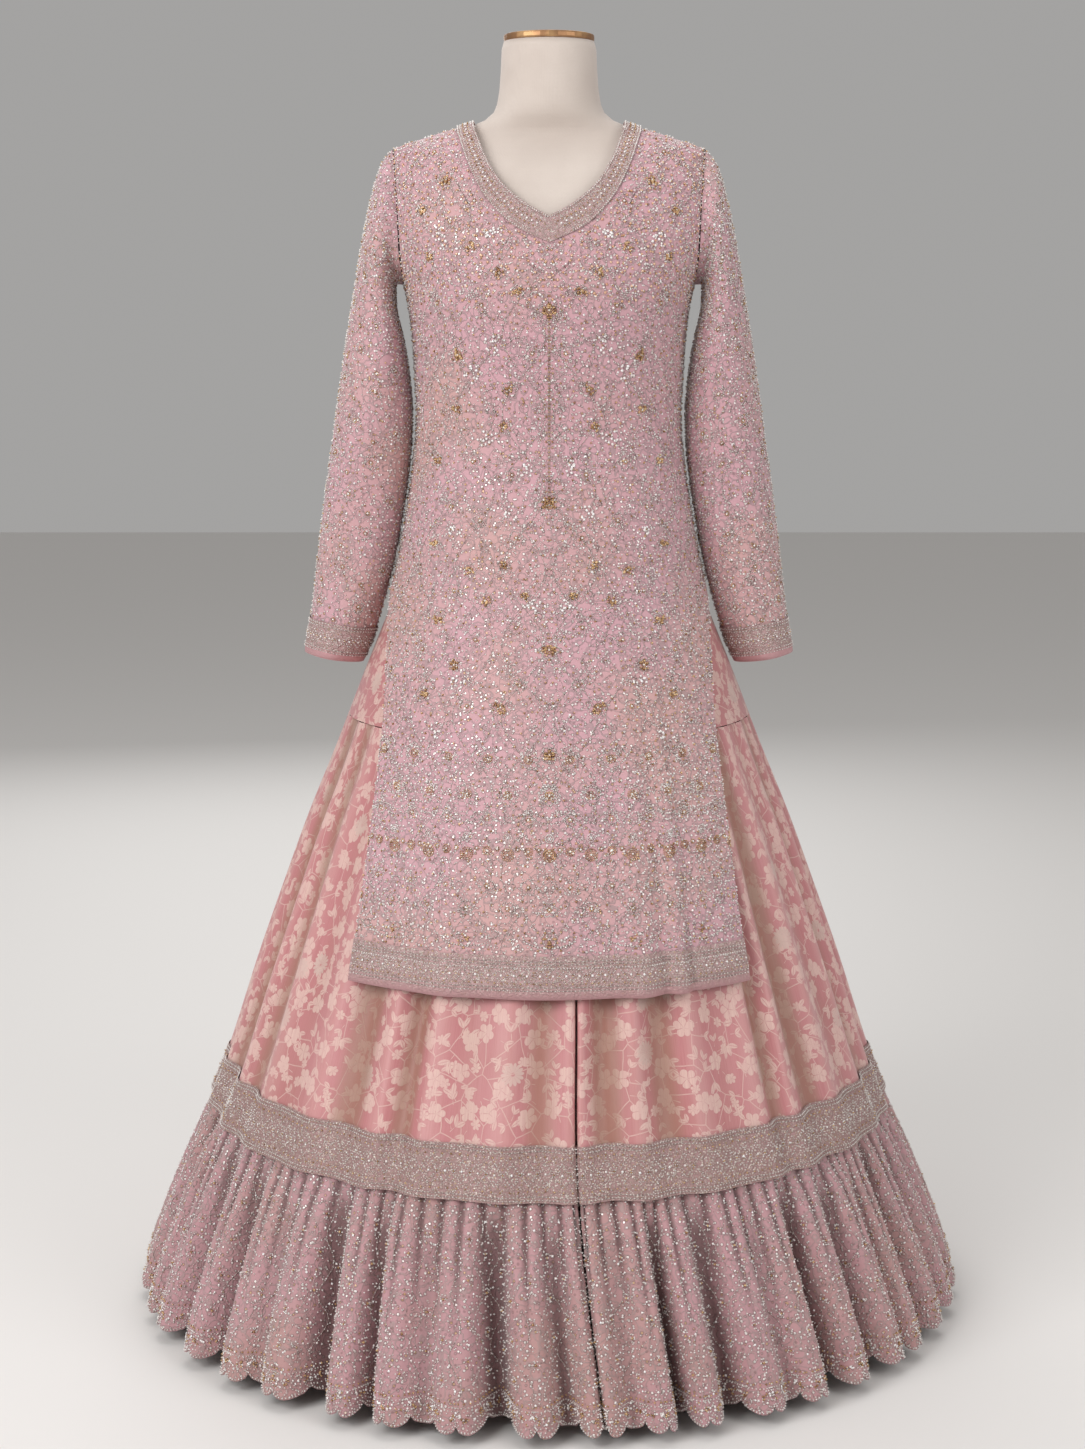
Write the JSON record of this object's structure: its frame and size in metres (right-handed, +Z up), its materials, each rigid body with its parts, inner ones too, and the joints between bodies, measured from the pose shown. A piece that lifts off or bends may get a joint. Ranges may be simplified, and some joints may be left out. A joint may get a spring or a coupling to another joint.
{
  "type": "sharara suit on a limbless dress form",
  "caption": "Embroidered long kurta over a flared sharara with ruffled, scalloped hems, worn by a limbless dress form that stands on a round base.",
  "frame": {"origin": "middle of the underside of the stand's round base", "axes": "+Z up, front of the garment faces -Y, +X is the wearer's left"},
  "size_m": [1.0655, 1.0649, 1.5893],
  "materials": {
    "kurta_net": "dusty mauve net over lining, silver vine embroidery and beads",
    "ruffle_net": "gathered mauve net with dense seed beads",
    "rose_brocade": "rose pink satin brocade with cream flowers",
    "bead_border": "dense silver and beige beadwork",
    "form_linen": "cream jersey stretched over the form",
    "cap_brass": "dark bronzed",
    "stand_paint": "satin off-white"
  },
  "bodies": {
    "root": {"form_torso": "form_linen", "neck_cap": "cap_brass", "stand_pole": "stand_paint", "stand_base": "stand_paint", "kurta_front": "kurta_net", "kurta_back": "kurta_net", "sleeve_left_front": "kurta_net", "sleeve_left_back": "kurta_net", "sleeve_right_front": "kurta_net", "sleeve_right_back": "kurta_net", "neck_border_front": "bead_border", "neck_border_back": "bead_border", "hem_border_front": "bead_border", "hem_border_back": "bead_border", "cuff_border_left": "bead_border", "cuff_border_right": "bead_border", "waistband": "rose_brocade", "yoke_front": "rose_brocade", "yoke_back": "rose_brocade", "leg_left_front": "rose_brocade", "leg_left_back": "rose_brocade", "leg_right_front": "rose_brocade", "leg_right_back": "rose_brocade", "band_left": "bead_border", "band_right": "bead_border", "ruffle_left_front": "ruffle_net", "ruffle_left_back": "ruffle_net", "ruffle_right_front": "ruffle_net", "ruffle_right_back": "ruffle_net"}
  },
  "joints": []
}
